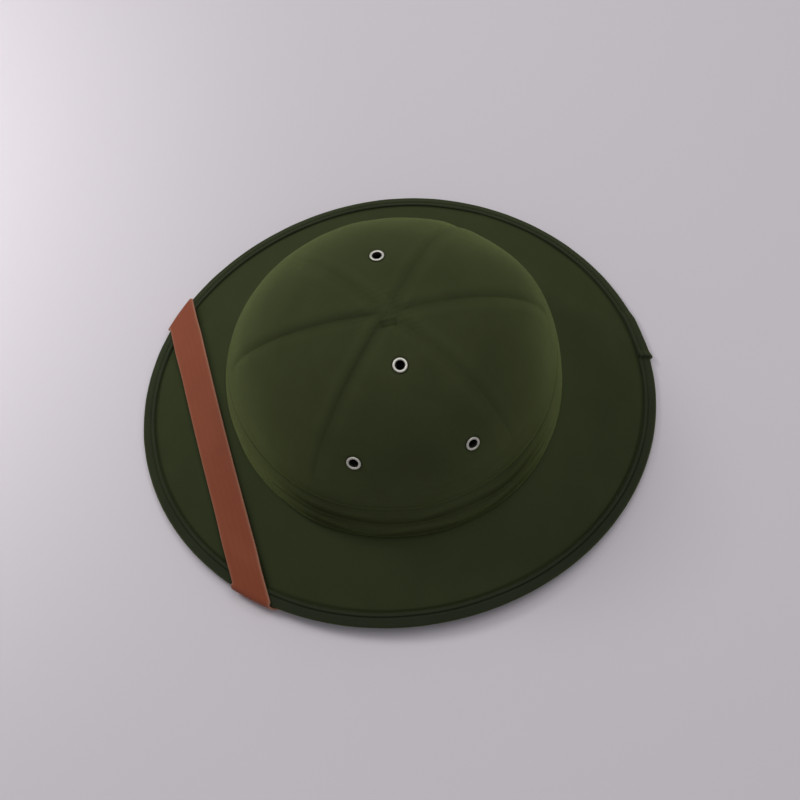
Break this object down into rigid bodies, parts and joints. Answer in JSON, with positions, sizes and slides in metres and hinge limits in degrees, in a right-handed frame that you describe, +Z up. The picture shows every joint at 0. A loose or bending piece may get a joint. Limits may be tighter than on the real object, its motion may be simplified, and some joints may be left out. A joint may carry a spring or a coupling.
{
  "type": "pith helmet",
  "caption": "Cloth-covered sun helmet with a domed crown, pleated band, ventilation eyelets, bound oval brim and a leather chin strap worn up over the front brim.",
  "frame": {"origin": "on the surface that the helmet rests on, in the middle of its bounding box", "axes": "+Z up, -Y towards the wearer's front, +X towards the wearer's left"},
  "size_m": [0.2968, 0.331, 0.1344],
  "materials": {
    "pressed_fibre": "matt pressed fibre",
    "crown_cloth": "matt woven cotton with a faint sheen",
    "brim_cloth": "matt woven cotton",
    "binding_tape": "matt woven tape with a stitched edge",
    "eyelet_metal": "satin nickel",
    "strap_leather": "smooth red-brown leather with a low sheen",
    "stud_metal": "plain metal"
  },
  "bodies": {
    "root": {"fibre_shell": "pressed_fibre", "crown_panel_front_left": "crown_cloth", "crown_panel_left": "crown_cloth", "crown_panel_rear_left": "crown_cloth", "crown_panel_rear_right": "crown_cloth", "crown_panel_right": "crown_cloth", "crown_panel_front_right": "crown_cloth", "brim_cover": "brim_cloth", "crown_band": "crown_cloth", "rim_binding": "binding_tape", "eyelet_left_top": "eyelet_metal", "eyelet_left_front": "eyelet_metal", "eyelet_left_rear": "eyelet_metal", "eyelet_right_top": "eyelet_metal", "eyelet_right_front": "eyelet_metal", "eyelet_right_rear": "eyelet_metal", "chin_strap": "strap_leather", "strap_stud_left": "stud_metal", "strap_stud_right": "stud_metal"}
  },
  "joints": []
}
